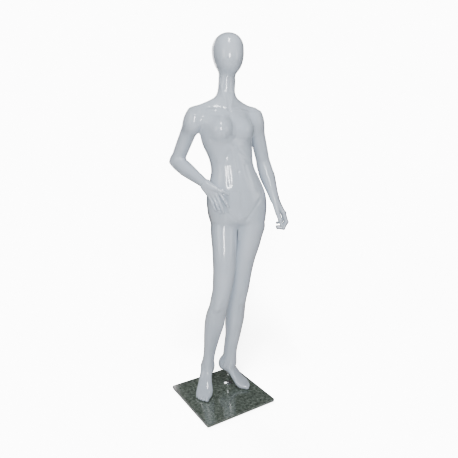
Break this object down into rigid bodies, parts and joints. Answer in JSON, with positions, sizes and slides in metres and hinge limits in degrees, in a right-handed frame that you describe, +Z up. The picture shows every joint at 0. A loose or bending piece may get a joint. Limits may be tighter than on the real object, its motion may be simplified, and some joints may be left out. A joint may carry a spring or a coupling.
{
  "type": "full body mannequin",
  "caption": "Glossy white female display mannequin with an egg head, one hand on the hip, standing on a square glass base with a leg rod.",
  "frame": {"origin": "middle of the base, on the floor under its middle bumper", "axes": "+Z up, -Y to the front edge of the base, +X to the figure's left"},
  "size_m": [0.5176, 0.4478, 1.8425],
  "materials": {
    "gelcoat": "glossy white gel coat on glass fibre",
    "glass": "mottled grey toughened glass with polished edges",
    "chrome": "polished chrome",
    "steel": "plain zinc-plated steel",
    "board": "plain fibreboard",
    "rubber": "clear soft bumpers"
  },
  "bodies": {
    "base": {"base_plate": "glass", "centre_bumper": "rubber", "left_rear_bumper": "rubber", "right_rear_bumper": "rubber", "right_front_bumper": "rubber", "left_front_bumper": "rubber", "rod_flange": "chrome", "support_rod": "chrome", "rod_washer": "steel", "rod_bolt": "steel"},
    "lower_body": {"lower_body": "gelcoat", "leg_socket": "steel", "waist_plate_limb_side": "board", "waist_bayonet": "steel", "waist_limb_screw_1": "steel", "right_thigh_plate_trunk_side": "board", "right_thigh_socket": "steel", "right_thigh_trunk_screw_1": "steel", "right_thigh_trunk_screw_2": "steel"},
    "torso": {"torso": "gelcoat", "waist_plate_trunk_side": "board", "waist_socket": "steel", "waist_trunk_screw_1": "steel", "waist_trunk_screw_2": "steel", "neck_plate_trunk_side": "board", "neck_socket": "steel", "neck_trunk_screw_1": "steel", "neck_trunk_screw_2": "steel", "right_shoulder_plate_trunk_side": "board", "right_shoulder_socket": "steel", "right_shoulder_trunk_screw_1": "steel", "right_shoulder_trunk_screw_2": "steel", "left_shoulder_plate_trunk_side": "board", "left_shoulder_socket": "steel", "left_shoulder_trunk_screw_1": "steel", "left_shoulder_trunk_screw_2": "steel"},
    "head": {"head": "gelcoat", "neck_plate_limb_side": "board", "neck_bayonet": "steel", "neck_limb_screw_1": "steel"},
    "right_arm": {"right_arm": "gelcoat", "right_shoulder_plate_limb_side": "board", "right_shoulder_bayonet": "steel", "right_shoulder_limb_screw_1": "steel", "right_wrist_socket": "steel"},
    "left_arm": {"left_arm": "gelcoat", "left_shoulder_plate_limb_side": "board", "left_shoulder_bayonet": "steel", "left_shoulder_limb_screw_1": "steel", "left_wrist_socket": "steel"},
    "right_hand": {"right_hand": "gelcoat", "right_wrist_bayonet": "steel"},
    "left_hand": {"left_hand": "gelcoat", "left_wrist_bayonet": "steel"},
    "right_leg": {"right_leg": "gelcoat", "right_thigh_plate_limb_side": "board", "right_thigh_bayonet": "steel", "right_thigh_limb_screw_1": "steel"}
  },
  "joints": [
    {"name": "figure_lift", "type": "slide", "parent": "base", "child": "lower_body", "axis": [0, 0, 1], "range_m": [0, 0.15]},
    {"name": "torso_twist", "type": "hinge", "parent": "lower_body", "child": "torso", "pos_m": [0.08621, 0.00327, 1.102], "axis": [0, 0, 1], "range_deg": [0, 30]},
    {"name": "head_turn", "type": "hinge", "parent": "torso", "child": "head", "pos_m": [0.04831, 0.0238, 1.638], "axis": [0, 0, 1], "range_deg": [-80, 80]},
    {"name": "right_arm_swing", "type": "hinge", "parent": "torso", "child": "right_arm", "pos_m": [-0.08012, 0.05493, 1.456], "axis": [-0.9576, 0.2112, 0.1961], "range_deg": [0, 75]},
    {"name": "left_arm_swing", "type": "hinge", "parent": "torso", "child": "left_arm", "pos_m": [0.16323, 0.00125, 1.456], "axis": [-0.9696, 0.2139, -0.1191], "range_deg": [0, 75]},
    {"name": "right_hand_twist", "type": "hinge", "parent": "right_arm", "child": "right_hand", "pos_m": [-0.09188, 0.00271, 1.14], "axis": [0.3397, -0.6979, -0.6305], "range_deg": [-6, 3]},
    {"name": "left_hand_twist", "type": "hinge", "parent": "left_arm", "child": "left_hand", "pos_m": [0.24656, -0.11169, 1.061], "axis": [0.0156, -0.4592, -0.8882], "range_deg": [-30, 60]},
    {"name": "right_leg_twist", "type": "hinge", "parent": "lower_body", "child": "right_leg", "pos_m": [0.03327, 0.02625, 0.928], "axis": [-0.2154, 0.1369, -0.9669], "range_deg": [0, 25]}
  ]
}
